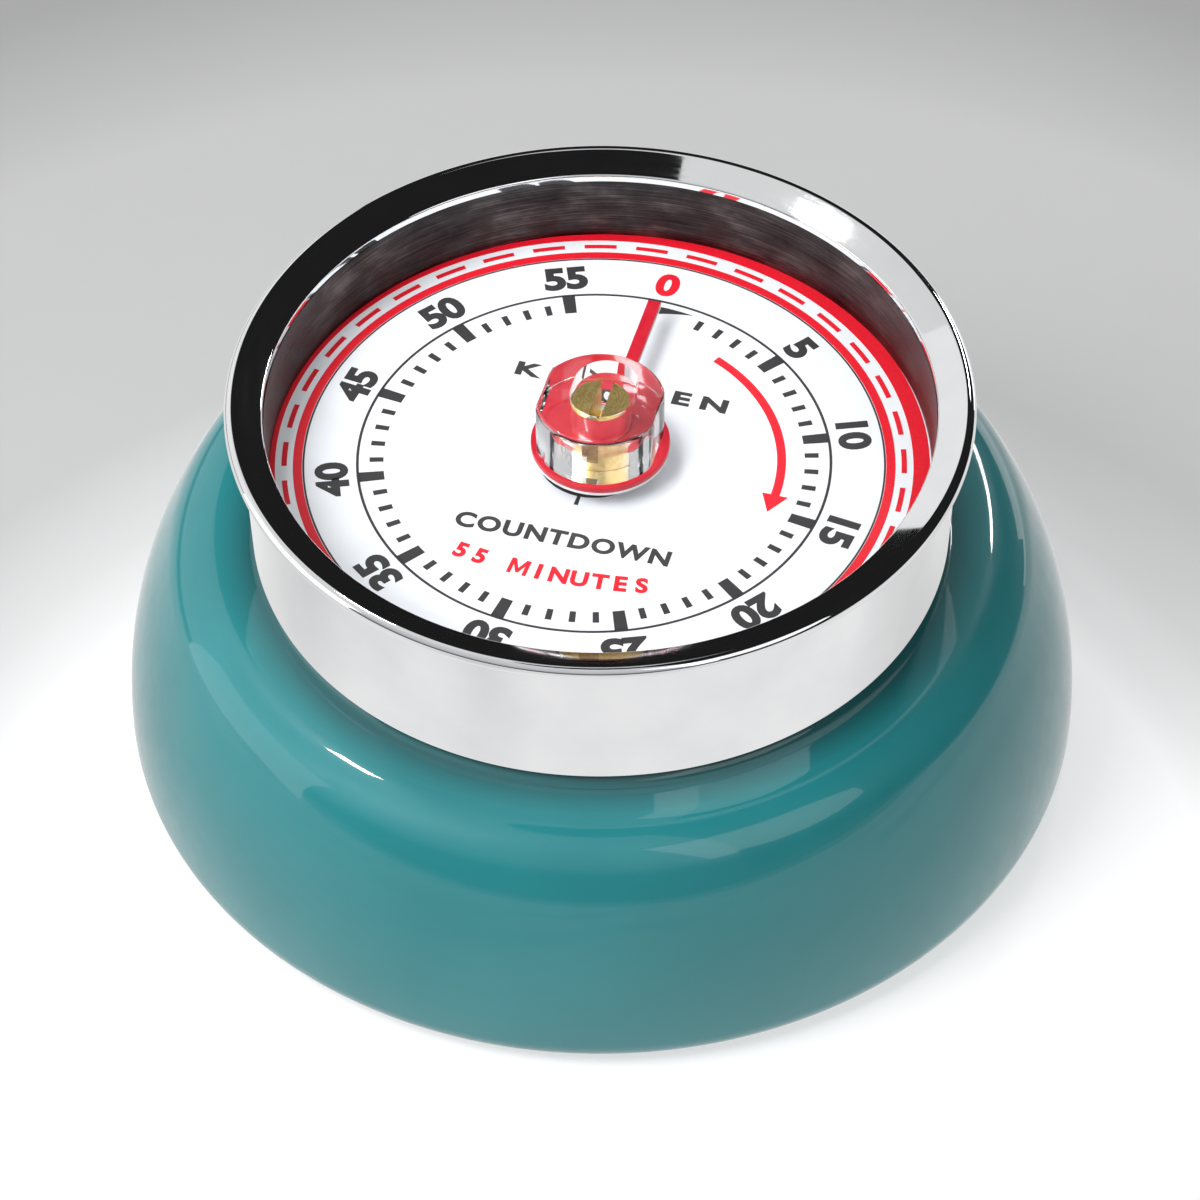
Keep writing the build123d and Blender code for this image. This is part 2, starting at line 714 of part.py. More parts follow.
def hammer_head():
    """Brass weight riveted through the arm's end."""
    spot = hammer_head_at()
    low = disc(HAMMER_HEAD_R, (3.9, 5.3), spot)
    return low + disc(0.6, (5.3, 6.1), spot) + disc(HAMMER_HEAD_R, (6.1, 6.5), spot)


def hammer_finger():
    """Short finger that the release lever stops."""
    tip = at(2.4, direction(HAMMER_AT, LEVER_AT))
    end = (HAMMER_AT[0] + tip[0], HAMMER_AT[1] + tip[1])
    body = disc(1.2, LEVER_Z, HAMMER_AT) + link(HAMMER_AT, end, 0.8, LEVER_Z)
    return body - disc(0.6, (19, 22), HAMMER_AT)


def hammer_spring():
    """Leaf on a pin in the front plate, bearing on the hammer's arbor."""
    z = (18.0, 19.0)
    body = link(HAMMER_SPRING_AT, (HAMMER_AT[0] - 0.2, HAMMER_AT[1] + 0.85), 0.2, z)
    return body + disc(0.7, (17.8, FRONT_Z[1]), HAMMER_SPRING_AT)


# ---------------------------------------------------------------- every node
save("body_shell", body_shell())
save("bezel", bezel())
save("wall_ring", wall_ring())
save("dial_plate", ring(DIAL_R, 2.4, (DIAL_Z - DIAL_T, DIAL_Z)))
save("base_plate", base_plate())
save("magnets", *magnets())
save("base_screws", *base_screws())
save("base_posts", *base_posts())
save("front_plate", front_plate())
save("back_plate", back_plate())
save("plate_pillars", *plate_pillars())
save("pillar_nuts", *pillar_nuts())
save("movement_screws", *movement_screws())
save("bell", bell())
save("bell_post", bell_post())
save("bell_nut", bell_nut())
save("mainspring", mainspring())
save("spring_post", spring_post())
save("lever_stud", lever_stud())
save("hammer_spring", hammer_spring())
save("knob", knob())
save("pointer", pointer())
save("hub_sleeve", hub_sleeve())
save("main_arbor", main_arbor())
save("ratchet_wheel", ratchet_wheel())
save("cam_sleeve", cam_sleeve())
save("release_cam", release_cam())
save("main_wheel", main_wheel())
save("click_stud", click_stud())
save("click_spring", click_spring())
save("click", click())
save(
    "second_wheel",
    wheel(SECOND_TEETH, SECOND_MODULE, SECOND_WHEEL_Z, SECOND_PHASE, SECOND_AT, 0.9, 5, 1.6),
)
save("second_arbor", second_arbor())
save(
    "third_wheel",
    wheel(THIRD_TEETH, THIRD_MODULE, THIRD_WHEEL_Z, THIRD_PHASE, THIRD_AT, 0.8, 5, 1.7),
)
save("third_arbor", third_arbor())
save("escape_wheel", escape_wheel())
save("escape_arbor", escape_arbor())
save("pallet_lever", pallet_lever())
save("pallet_pins", *pallet_pins())
save("pallet_arbor", pallet_arbor())
save("release_lever", release_lever())
save("hammer_arbor", hammer_arbor())
save("hammer_arm", hammer_arm())
save("hammer_head", hammer_head())
save("hammer_finger", hammer_finger())
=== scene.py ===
from math import asin, atan, atan2, cos, degrees, hypot, pi, radians, sin, sqrt, tan

import bmesh
import bpy
from mathutils import Matrix, Vector


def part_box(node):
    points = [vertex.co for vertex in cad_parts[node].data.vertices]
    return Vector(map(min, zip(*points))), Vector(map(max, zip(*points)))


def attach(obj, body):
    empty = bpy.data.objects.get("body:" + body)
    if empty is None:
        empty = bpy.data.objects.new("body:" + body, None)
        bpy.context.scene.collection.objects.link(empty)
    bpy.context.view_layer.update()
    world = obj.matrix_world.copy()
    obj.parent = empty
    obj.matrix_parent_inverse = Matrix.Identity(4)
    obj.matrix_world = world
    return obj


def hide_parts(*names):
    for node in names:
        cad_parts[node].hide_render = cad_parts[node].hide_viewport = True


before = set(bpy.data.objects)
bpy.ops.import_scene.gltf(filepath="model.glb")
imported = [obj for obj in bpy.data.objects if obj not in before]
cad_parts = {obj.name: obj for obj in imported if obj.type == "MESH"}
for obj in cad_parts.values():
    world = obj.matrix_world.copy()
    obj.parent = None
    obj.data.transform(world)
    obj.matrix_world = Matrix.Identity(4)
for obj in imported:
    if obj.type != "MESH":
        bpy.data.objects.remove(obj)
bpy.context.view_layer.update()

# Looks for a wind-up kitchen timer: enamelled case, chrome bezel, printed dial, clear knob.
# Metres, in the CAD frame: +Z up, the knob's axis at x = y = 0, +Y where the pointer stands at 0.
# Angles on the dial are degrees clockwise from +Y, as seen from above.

MM = 0.001


# ------------------------------------------------------------ where the CAD says things are
def low_mm(node):
    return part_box(node)[0] / MM


def high_mm(node):
    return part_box(node)[1] / MM


DIAL_Z = high_mm("dial_plate").z
BEZEL_TOP = high_mm("bezel").z
BEZEL_LOW = low_mm("bezel").z
LIP_R = high_mm("bezel").x
DISH = radians(24)  # slope of the bezel's top
BODY_R = high_mm("body_shell").x
SHELL_FOOT = low_mm("body_shell").z
FLANGE_Z = high_mm("body_shell").z
KNOB_LOW, KNOB_TOP = low_mm("knob").z, high_mm("knob").z
KNOB_R = high_mm("knob").y
POINTER_LOW, POINTER_TOP = low_mm("pointer").z, high_mm("pointer").z
POINTER_TIP = high_mm("pointer").y
POINTER_DISC_R = high_mm("pointer").x
POINTER_W = 0.95
SHAFT_R = 2.1
SHAFT_TOP = high_mm("main_arbor").z


# ------------------------------------------------------------ mesh helpers
class Builder:
    """Collects points and faces in millimetres and makes one object of them."""

    def __init__(self):
        self.verts = []
        self.faces = []

    def add(self, verts, faces):
        first = len(self.verts)
        self.verts += verts
        self.faces += [[first + i for i in face] for face in faces]

    def slab(self, outline, z0, z1):
        """A flat closed plate from an outline in plan, counterclockwise."""
        n = len(outline)
        verts = [(x, y, z0) for x, y in outline] + [(x, y, z1) for x, y in outline]
        sides = [[i, (i + 1) % n, n + (i + 1) % n, n + i] for i in range(n)]
        self.add(verts, [list(range(n))[::-1], [n + i for i in range(n)]] + sides)

    def band(self, inner, outer, start, end, z0, z1, step=1.0):
        """A flat arc of a ring between two clockwise angles."""
        whole = abs(end - start) >= 359.99
        n = max(2, int(abs(end - start) / step))
        angles = [start + (end - start) * i / n for i in range(n if whole else n + 1)]
        verts = []
        for a in angles:
            for r, z in ((inner, z0), (outer, z0), (outer, z1), (inner, z1)):
                verts.append(polar(r, a) + (z,))
        faces = []
        for i in range(n):
            j = (i + 1) % len(angles)
            for k in range(4):
                m = (k + 1) % 4
                faces.append([4 * i + k, 4 * i + m, 4 * j + m, 4 * j + k])
        if not whole:
            faces += [[0, 3, 2, 1], [4 * n + k for k in range(4)]]
        self.add(verts, faces)

    def make(self, name, material, sharp=35.0):
        mesh = bpy.data.meshes.new(name)
        mesh.from_pydata([Vector(v) * MM for v in self.verts], [], self.faces)
        return finish_mesh(mesh, name, material, sharp)


def polar(radius, angle):
    """Plan position from a radius and an angle clockwise from +Y."""
    return (radius * sin(radians(angle)), radius * cos(radians(angle)))


def finish_mesh(mesh, name, material, sharp=35.0):
    """Normals outward, smooth shading broken at sharp edges, material, object."""
    bm = bmesh.new()
    bm.from_mesh(mesh)
    bmesh.ops.recalc_face_normals(bm, faces=bm.faces)
    bm.to_mesh(mesh)
    bm.free()
    mesh.materials.clear()
    mesh.materials.append(material)
    smooth(mesh, sharp)
    obj = bpy.data.objects.new(name, mesh)
    bpy.context.scene.collection.objects.link(obj)
    return obj


def smooth(mesh, angle):
    mesh.polygons.foreach_set("use_smooth", [True] * len(mesh.polygons))
    mesh.set_sharp_from_angle(angle=radians(angle))
    mesh.update()


def held(profile, near=0.05, long=0.4):
    """The profile with a point close to both ends of each long side, so shading stays flat there."""
    points = []
    for i, a in enumerate(profile):
        b = profile[(i + 1) % len(profile)]
        points.append(a)
        length = hypot(b[0] - a[0], b[1] - a[1])
        if length > long:
            for t in (near / length, 1 - near / length):
                points.append((a[0] + (b[0] - a[0]) * t, a[1] + (b[1] - a[1]) * t))
    return points


def lathe(name, profile, material, segments=384, sharp=35.0):
    """A closed profile of (radius, height) turned about the axis."""
    profile = held(profile)
    n = len(profile)
    verts = []
    for i in range(segments):
        a = 2 * pi * i / segments
        verts += [(r * cos(a), r * sin(a), z) for r, z in profile]
    faces = []
    for i in range(segments):
        j = (i + 1) % segments
        for k in range(n):
            m = (k + 1) % n
            faces.append([n * i + k, n * i + m, n * j + m, n * j + k])
    built = Builder()
    built.add(verts, faces)
    return built.make(name, material, sharp)


def arc(centre, radii, start, end, n):
    """Points on an ellipse arc in the profile plane."""
    turn = [start + (end - start) * i / n for i in range(n + 1)]
    return [(centre[0] + radii[0] * cos(t), centre[1] + radii[1] * sin(t)) for t in turn]


def baked(objects):
    """The mesh of an object with its modifiers, or of a curve; the objects go away."""
    bpy.context.view_layer.update()
    graph = bpy.context.evaluated_depsgraph_get()
    mesh = bpy.data.meshes.new_from_object(objects[0].evaluated_get(graph))
    for obj in objects:
        bpy.data.objects.remove(obj)
    return mesh


def rounded_plate(outlines, z0, z1, edge):
    """A plate with rounded edges; outlines in plan, holes among them."""
    curve = bpy.data.curves.new("plate", "CURVE")
    curve.dimensions = "2D"
    curve.fill_mode = "BOTH"
    curve.extrude = ((z1 - z0) / 2 - edge) * MM
    curve.bevel_depth = edge * MM
    curve.bevel_resolution = 4
    curve.offset = -edge * MM
    for outline in outlines:
        spline = curve.splines.new("POLY")
        spline.points.add(len(outline) - 1)
        for point, (x, y) in zip(spline.points, outline):
            point.co = (x * MM, y * MM, 0, 1)
        spline.use_cyclic_u = True
    obj = bpy.data.objects.new("plate", curve)
    bpy.context.scene.collection.objects.link(obj)
    mesh = baked([obj])
    mesh.transform(Matrix.Translation((0, 0, (z0 + z1) / 2 * MM)))
    return mesh


# ------------------------------------------------------------ material helpers
class Look:
    """A node material built round one Principled shader."""

    def __init__(self, name, **values):
        self.material = bpy.data.materials.new(name)
        self.material.use_nodes = True
        self.tree = self.material.node_tree
        self.shader = self.tree.nodes["Principled BSDF"]
        for key, value in values.items():
            self.shader.inputs[key.replace("_", " ")].default_value = value

    def node(self, kind, **values):
        made = self.tree.nodes.new(kind)
        for key, value in values.items():
            if hasattr(made, key):
                setattr(made, key, value)
            else:
                made.inputs[key.replace("_", " ")].default_value = value
        return made

    def link(self, source, target):
        self.tree.links.new(source, target)

    def place(self, scale=(1, 1, 1)):
        """Object coordinates, in millimetres, stretched by scale."""
        where = self.node("ShaderNodeTexCoord")
        mapping = self.node("ShaderNodeMapping")
        mapping.inputs["Scale"].default_value = [1000.0 * s for s in scale]
        self.link(where.outputs["Object"], mapping.inputs["Vector"])
        return mapping.outputs["Vector"]

    def around(self, scale=(1, 1, 1)):
        """Cylinder coordinates about the knob's axis: radius, turn (x 25) and height, in mm."""
        where = self.node("ShaderNodeTexCoord")
        split = self.node("ShaderNodeSeparateXYZ")
        self.link(where.outputs["Object"], split.inputs[0])
        turn = self.node("ShaderNodeMath", operation="ARCTAN2")
        self.link(split.outputs["Y"], turn.inputs[0])
        self.link(split.outputs["X"], turn.inputs[1])
        square = [self.node("ShaderNodeMath", operation="MULTIPLY") for _ in range(2)]
        for part, axis in zip(square, "XY"):
            self.link(split.outputs[axis], part.inputs[0])
            self.link(split.outputs[axis], part.inputs[1])
        total = self.node("ShaderNodeMath", operation="ADD")
        self.link(square[0].outputs[0], total.inputs[0])
        self.link(square[1].outputs[0], total.inputs[1])
        radius = self.node("ShaderNodeMath", operation="SQRT")
        self.link(total.outputs[0], radius.inputs[0])
        joined = self.node("ShaderNodeCombineXYZ")
        sizes = (1000.0 * scale[0], 25.0 * scale[1], 1000.0 * scale[2])
        for source, size, axis in zip((radius, turn, split), sizes, "XYZ"):
            part = self.node("ShaderNodeMath", operation="MULTIPLY")
            output = source.outputs["Z"] if source is split else source.outputs[0]
            self.link(output, part.inputs[0])
            part.inputs[1].default_value = size
            self.link(part.outputs[0], joined.inputs[axis])
        return joined.outputs[0]

    def noise(self, vector, scale, detail=3.0, rough=0.5):
        made = self.node("ShaderNodeTexNoise", Scale=scale, Detail=detail, Roughness=rough)
        self.link(vector, made.inputs["Vector"])
        return made.outputs["Fac"]

    def spread(self, value, low, high, start=0.3, end=0.7):
        """The value from start to end mapped to low to high."""
        made = self.node("ShaderNodeMapRange")
        made.inputs["From Min"].default_value = start
        made.inputs["From Max"].default_value = end
        made.inputs["To Min"].default_value = low
        made.inputs["To Max"].default_value = high
        self.link(value, made.inputs["Value"])
        return made.outputs["Result"]

    def tint(self, value, colours, places=None):
        """A colour that varies with the value."""
        made = self.node("ShaderNodeValToRGB")
        ramp = made.color_ramp
        places = places or [0.3 + 0.4 * i / (len(colours) - 1) for i in range(len(colours))]
        while len(ramp.elements) < len(colours):
            ramp.elements.new(0.5)
        for element, colour, spot in zip(ramp.elements, colours, places):
            element.position = spot
            element.color = tuple(colour) + (1.0,)
        self.link(value, made.inputs["Fac"])
        self.link(made.outputs["Color"], self.shader.inputs["Base Color"])

    def rough(self, value, low, high):
        self.link(self.spread(value, low, high), self.shader.inputs["Roughness"])

    def bump(self, value, height, coat=False):
        """Relief of this height in millimetres."""
        made = self.node("ShaderNodeBump")
        made.inputs["Strength"].default_value = 1.0
        made.inputs["Distance"].default_value = height * MM
        self.link(value, made.inputs["Height"])
        self.link(made.outputs["Normal"], self.shader.inputs["Normal"])
        if coat:
            self.link(made.outputs["Normal"], self.shader.inputs["Coat Normal"])


def shade(colour, factor):
    return [min(1.0, c * factor) for c in colour]


def enamel():
    look = Look("enamel", Coat_Weight=1.0, Coat_Roughness=0.025, Coat_IOR=1.5)
    look.shader.inputs["Specular IOR Level"].default_value = 0.3
    teal = (0.010, 0.175, 0.19)
    cloud = look.noise(look.place(), 0.09, 2.0)
    split = look.node("ShaderNodeSeparateXYZ")
    look.link(look.around(), split.inputs[0])
    # Painted shade: the teal darkens from 27.6 mm in to 25.2 mm radius, next to the bezel's neck, standing
    # in for the shade there
    neck_painted_shade = look.spread(split.outputs["X"], 0.0, 0.75, 25.2, 27.6)
    mixed = look.node("ShaderNodeMath", operation="MULTIPLY_ADD")
    look.link(cloud, mixed.inputs[0])
    mixed.inputs[1].default_value = 0.25
    look.link(neck_painted_shade, mixed.inputs[2])
    # The darkest tones are the painted shade at the neck; the cloud only adds random tone
    teal_tones_and_painted_shade = [shade(teal, factor) for factor in (0.42, 0.8, 0.94, 1.06)]
    look.tint(mixed.outputs[0], teal_tones_and_painted_shade, [0.1, 0.6, 0.82, 0.93])
    look.rough(look.noise(look.place(), 0.5), 0.32, 0.42)
    look.bump(look.noise(look.place(), 0.35, 2.0), 0.0035, coat=True)
    return look.material


def chrome():
    look = Look("chrome", Metallic=1.0)
    fine = look.noise(look.around((1.0, 0.12, 6.0)), 1.5, 4.0)
    look.tint(look.noise(look.place(), 0.2), [(0.86, 0.87, 0.88), (0.93, 0.93, 0.94)])
    look.rough(fine, 0.02, 0.06)
    look.bump(look.noise(look.place(), 0.16, 2.0), 0.004)
    return look.material


def scratched_wall():
    look = Look("galvanised_wall", Metallic=1.0)
    lines = look.noise(look.around((1.0, 0.10, 5.0)), 1.4, 6.0, 0.65)
    blotch = look.noise(look.around((1.0, 0.35, 0.8)), 0.5, 4.0, 0.6)
    mixed = look.node("ShaderNodeMath", operation="MULTIPLY_ADD")
    look.link(lines, mixed.inputs[0])
    mixed.inputs[1].default_value = 0.45
    half = look.node("ShaderNodeMath", operation="MULTIPLY")
    look.link(blotch, half.inputs[0])
    half.inputs[1].default_value = 0.55
    look.link(half.outputs[0], mixed.inputs[2])
    greys = [(0.02, 0.019, 0.02), (0.06, 0.057, 0.057), (0.2, 0.195, 0.19)]
    look.tint(mixed.outputs[0], greys, [0.38, 0.52, 0.68])
    look.rough(mixed.outputs[0], 0.22, 0.5)
    look.bump(lines, 0.03)
    return look.material


def dial_paint():
    look = Look("dial_white", Coat_Weight=0.25, Coat_Roughness=0.2)
    look.tint(look.noise(look.place(), 0.25), [(0.74, 0.765, 0.80), (0.79, 0.81, 0.84)])
    look.rough(look.noise(look.place(), 2.5), 0.35, 0.5)
    look.bump(look.noise(look.place(), 3.0), 0.002)
    return look.material


def ink(name, colour, wear=0.12):
    """Printed colour with slightly uneven cover."""
    look = Look(name)
    grain = look.noise(look.place(), 6.0, 3.0, 0.6)
    look.tint(grain, [shade(colour, 1.0 - wear), shade(colour, 1.0 + wear)])
    look.rough(grain, 0.4, 0.55)
    look.bump(grain, 0.002)
    return look.material


def red_paint():
    look = Look("red_paint", Coat_Weight=0.15, Coat_Roughness=0.12)
    grain = look.noise(look.place(), 1.2)
    look.tint(grain, [(0.46, 0.004, 0.018), (0.55, 0.007, 0.024)])
    look.rough(grain, 0.3, 0.42)
    look.bump(look.noise(look.place(), 2.0), 0.003)
    return look.material


def pale_sheet():
    """Unpainted underside of the pointer, seen at its edge."""
    look = Look("pointer_pale")
    grain = look.noise(look.place(), 2.0)
    look.tint(grain, [(0.7, 0.66, 0.66), (0.82, 0.8, 0.8)])
    look.rough(grain, 0.3, 0.45)
    look.bump(grain, 0.002)
    return look.material


def turned_brass():
    """Shaft end faced on a lathe: fine rings about the axis."""
    look = Look("brass_faced", Metallic=1.0)
    rings = look.noise(look.around((9.0, 0.15, 1.0)), 1.0, 3.0, 0.6)
    look.tint(rings, [(0.62, 0.42, 0.1), (0.93, 0.74, 0.34)])
    look.rough(rings, 0.3, 0.48)
    look.bump(rings, 0.02)
    return look.material


def acrylic():
    look = Look("clear_acrylic", Transmission_Weight=1.0, IOR=1.49, Roughness=0.0)
    haze = look.noise(look.place(), 0.8)
    look.tint(haze, [(0.96, 0.975, 0.975), (0.99, 0.995, 0.995)])
    look.rough(look.noise(look.place(), 1.5), 0.0, 0.03)
    look.bump(look.noise(look.place((1.0, 1.0, 0.4)), 1.1, 2.0), 0.008)
    return look.material


def metal(name, low, high, roughness=(0.25, 0.4), grain=(1.0, 1.0, 1.0), size=2.0, relief=0.006):
    """Worked metal with a directional grain."""
    look = Look(name, Metallic=1.0)
    fine = look.noise(look.place(grain), size, 4.0, 0.6)
    look.tint(fine, [low, high])
    look.rough(fine, *roughness)
    look.bump(fine, relief)
    return look.material


def sintered():
    look = Look("magnet")
    grain = look.noise(look.place(), 5.0, 4.0, 0.7)
    look.tint(grain, [(0.02, 0.02, 0.022), (0.05, 0.05, 0.053)])
    look.rough(grain, 0.5, 0.7)
    look.bump(grain, 0.02)
    return look.material


def plastic():
    look = Look("black_plastic")
    grain = look.noise(look.place(), 4.0)
    look.tint(grain, [(0.012, 0.012, 0.012), (0.022, 0.022, 0.022)])
    look.rough(grain, 0.45, 0.6)
    look.bump(grain, 0.008)
    return look.material


def floor_painted_light_pool():
    """Pale floor with a painted pool of light about the timer: its grey and its glow fall off with distance.
    """
    look = Look("floor")
    where = look.node("ShaderNodeTexCoord")
    apart = look.node("ShaderNodeVectorMath", operation="DISTANCE")
    apart.inputs[1].default_value = around_camera(0, -22, 0)
    look.link(where.outputs["Object"], apart.inputs[0])
    first, last = PAINTED_LIGHT_POOL[0][0], PAINTED_LIGHT_POOL[-1][0]
    soft = look.node("ShaderNodeMapRange")
    soft.inputs["From Min"].default_value = first * MM
    soft.inputs["From Max"].default_value = last * MM
    look.link(apart.outputs["Value"], soft.inputs["Value"])
    look.tint(soft.outputs[0], [(g, g, g) for _, g in PAINTED_LIGHT_POOL], [(r - first) / (last - first) for r, _ in PAINTED_LIGHT_POOL])
    # Painted light: the floor glows with the same grey, brightest near the timer, which also lightens the
    # shadows on it
    look.link(look.tree.nodes["Color Ramp"].outputs["Color"], look.shader.inputs["Emission Color"])
    look.shader.inputs["Emission Strength"].default_value = 1.15
    look.rough(look.noise(look.place(), 0.3), 0.7, 0.8)
    look.bump(look.noise(look.place(), 1.0), 0.01)
    return look.material


# ------------------------------------------------------------ case
def build_shell(material):
    """The enamelled dome: ellipse, shoulder, flat, fillet, neck and inner flange."""
    centre, rise, wide_z, shell = 15.0, 24.75, 2.6, 1.2
    turn = radians(35.0)
    shoulder_z, neck, fillet = 18.9, 24.55, 0.8
    reach = BODY_R - centre
    end = (centre + reach * cos(turn), wide_z + rise * sin(turn))
    lean = atan(tan(turn) * reach / rise)
    corner = (shoulder_z - end[1]) / (1 - sin(lean))
    hub = (end[0] - corner * cos(lean), shoulder_z - corner)
    drop = wide_z - SHELL_FOOT
    profile = [(BODY_R - 2.3, SHELL_FOOT)]
    profile += arc((BODY_R - 0.9, wide_z), (0.9, drop), -pi / 2, 0, 14)[:-1]
    profile += arc((centre, wide_z), (reach, rise), 0, turn, 60)[:-1]
    profile += arc(hub, (corner, corner), lean, pi / 2, 28)
    profile += arc((neck + fillet, shoulder_z + fillet), (fillet, fillet), -pi / 2, -pi, 12)
    profile += [(neck, FLANGE_Z), (21.4, FLANGE_Z), (21.4, FLANGE_Z - 0.8), (neck - shell, FLANGE_Z - 0.8)]
    profile += [(neck - shell, shoulder_z - shell)]
    inner = corner - shell
    profile += arc(hub, (inner, inner), pi / 2, lean, 16)
    profile += arc((centre, wide_z), (reach - shell, rise - shell), turn * 0.94, 0, 30)
    return lathe("case_shell", profile, material)


def build_bezel(material):
    """Spun ring: slightly flared band, rolled lip and a top dished in towards the dial."""
    roll, turned_in = 0.53, 0.2
    middle = (LIP_R - roll, BEZEL_TOP - 0.06 - roll)
    inner, bore, shelf = 23.75, 24.62, high_mm("wall_ring").z
    lip = arc(middle, (roll, roll), radians(-60), pi / 2 + DISH, 30)
    edge = (inner + turned_in * (1 - sin(DISH)), inner + turned_in)
    foot = lip[-1][1] - (lip[-1][0] - edge[0]) * tan(DISH) - turned_in * cos(DISH)
    profile = [(25.08, BEZEL_LOW + 0.12), (25.38, lip[0][1] - 0.12), (25.41, lip[0][1] - 0.04)]
    profile += lip
    profile += arc((edge[1], foot), (turned_in, turned_in), pi / 2 + DISH, pi, 6)
    profile += [(inner, shelf), (bore, shelf), (bore, BEZEL_LOW)]
    profile += [(24.98, BEZEL_LOW), (25.05, BEZEL_LOW + 0.03)]
    return lathe("bezel_ring", profile, material)


def build_wall(material):
    low, high = low_mm("wall_ring").z, high_mm("wall_ring").z
    inner = 23.55
    profile = [(inner, low), (24.5, low), (24.5, high), (inner + 0.15, high)]
    return lathe("wall_sleeve", profile, material)


# ------------------------------------------------------------ dial print
PRINT = (DIAL_Z - 0.004, DIAL_Z + 0.012)
OVER = (DIAL_Z - 0.004, DIAL_Z + 0.016)
PRINT_X, PRINT_Y = -0.48, 0.03  # the print sits off the axis


def printed(built, name, material):
    """One colour of the print, moved to where the print sits."""
    built.verts = [(x + PRINT_X, y + PRINT_Y, z) for x, y, z in built.verts]
    return built.make(name, material)


def lettering(text, bold=0.016, spacing=1.0, shear=0.0):
    """Flat letters as a mesh of unit height, centred, with their width."""
    curve = bpy.data.curves.new("letters", "FONT")
    curve.body = text
    curve.size = 1.0
    curve.offset = bold
    curve.extrude = 0.5
    curve.space_character = spacing
    curve.shear = shear
    curve.resolution_u = 5
    obj = bpy.data.objects.new("letters", curve)
    bpy.context.scene.collection.objects.link(obj)
    mesh = baked([obj])
    xs = [v.co.x for v in mesh.vertices]
    ys = [v.co.y for v in mesh.vertices]
    high = max(ys) - min(ys)
    centre = ((max(xs) + min(xs)) / 2, (max(ys) + min(ys)) / 2)
    verts = [((v.co.x - centre[0]) / high, (v.co.y - centre[1]) / high, v.co.z) for v in mesh.vertices]
    faces = [list(p.vertices) for p in mesh.polygons]
    width = (max(xs) - min(xs)) / high
    bpy.data.meshes.remove(mesh)
    return verts, faces, width


def write(built, text, height, radius, angle, width=None, wide=1.0, z=PRINT, **style):
    """Letters centred at a radius and a clockwise angle, tops outward."""
    verts, faces, natural = lettering(text, **style)
    stretch = (width / natural / height) if width else wide
    turn = radians(angle)
    placed = []
    for x, y, level in verts:
        u, v = x * height * stretch, y * height + radius
        high = z[0] if level < 0 else z[1]
        placed.append((u * cos(turn) + v * sin(turn), -u * sin(turn) + v * cos(turn), high))
    built.add(placed, faces)


def print_black(material):
    built = Builder()
    built.band(16.76, 16.96, 0, 360, *PRINT)
    built.band(20.63, 20.77, 0, 360, *PRINT)
    built.band(2.6, 4.0, 0, 360, *PRINT)
    built.band(3.9, 4.85, 178.1, 181.9, *PRINT)
    for minute in range(1, 56):
        angle = 8 + 6 * minute
        major = minute % 5 == 0
        half = degrees((0.44 if major else 0.225) / 15.6)
        built.band(15.0, 16.8 if major else 16.0, angle - half, angle + half, *PRINT, step=0.5)
    edge = [polar(16.28, 1.2 + 9.8 * i / 12) for i in range(13)]
    foot = [polar(15.45 + 0.83 * i / 12, 1.2 + 9.8 * i / 12) for i in range(12)]
    built.slab(edge[::-1] + foot, *PRINT)
    for five in range(1, 12):
        write(built, str(5 * five), 2.42, 18.7, 8 + 30 * five, wide=1.08, bold=0.048, spacing=0.98)
    return printed(built, "dial_print_black", material)


def print_words(material):
    built = Builder()
    write(built, "KITCHEN", 1.42, 7.4, 0, width=15.8, bold=0.045, spacing=1.55)
    write(built, "COUNTDOWN", 1.5, -8.25, 0, width=15.6, bold=0.04, spacing=1.14)
    return printed(built, "dial_print_words", material)


def print_red(material):
    built = Builder()
    built.band(20.8, 21.45, 0, 360, *PRINT)
    built.band(22.72, 23.9, 0, 360, *PRINT)
    for dash in range(36):
        centre = -4.3 + 10 * dash
        built.band(21.88, 22.26, centre - 3.1, centre + 3.1, *PRINT)
    built.band(13.03, 13.67, 26, 91.5, *PRINT)
    tip = polar(13.35, 98.5)
    built.slab([polar(14.3, 91), tip, polar(12.4, 91)], *OVER)
    write(built, "0", 2.42, 18.65, 1.4, wide=1.08, bold=0.048)
    word = "55 MINUTES"
    for i, letter in enumerate(word):
        if letter != " ":
            x = -6.55 + 1.455 * i
            bend = degrees(atan2(x, 36.0))
            y = -11.75 + 36.0 * (1 - cos(radians(bend)))
            place_letter(built, letter, 1.45, x, y, bend)
    return printed(built, "dial_print_red", material)


def letter_m(width=0.98, stroke=0.2):
    """A bold M of unit height, centred."""
    w, s = width, stroke
    left = [(0, 0), (s, 0), (s, 0.62), (w / 2 - 0.07, 0.12)]
    right = [(w - x, y) for x, y in left[::-1]]
    top = [(w, 1), (w - s * 1.15, 1), (w / 2, 0.42), (s * 1.15, 1), (0, 1)]
    built = Builder()
    built.slab([(x - w / 2, y - 0.5) for x, y in left + right + top], -1, 1)
    return built.verts, built.faces


def place_letter(built, letter, height, x, y, lean):
    """One letter upright at a point, turned a little about its own centre."""
    if letter == "M":
        verts, faces = letter_m()
    else:
        verts, faces, _ = lettering(letter, bold=0.045)
    turn = radians(lean)
    placed = []
    for u, v, level in verts:
        u, v = u * height, v * height
        point = (x + u * cos(turn) - v * sin(turn), y + u * sin(turn) + v * cos(turn))
        placed.append(point + (PRINT[0] if level < 0 else PRINT[1],))
    built.add(placed, faces)


# ------------------------------------------------------------ pointer and knob
PAINT_Z = POINTER_LOW + 0.22  # where the paint meets the bare underside


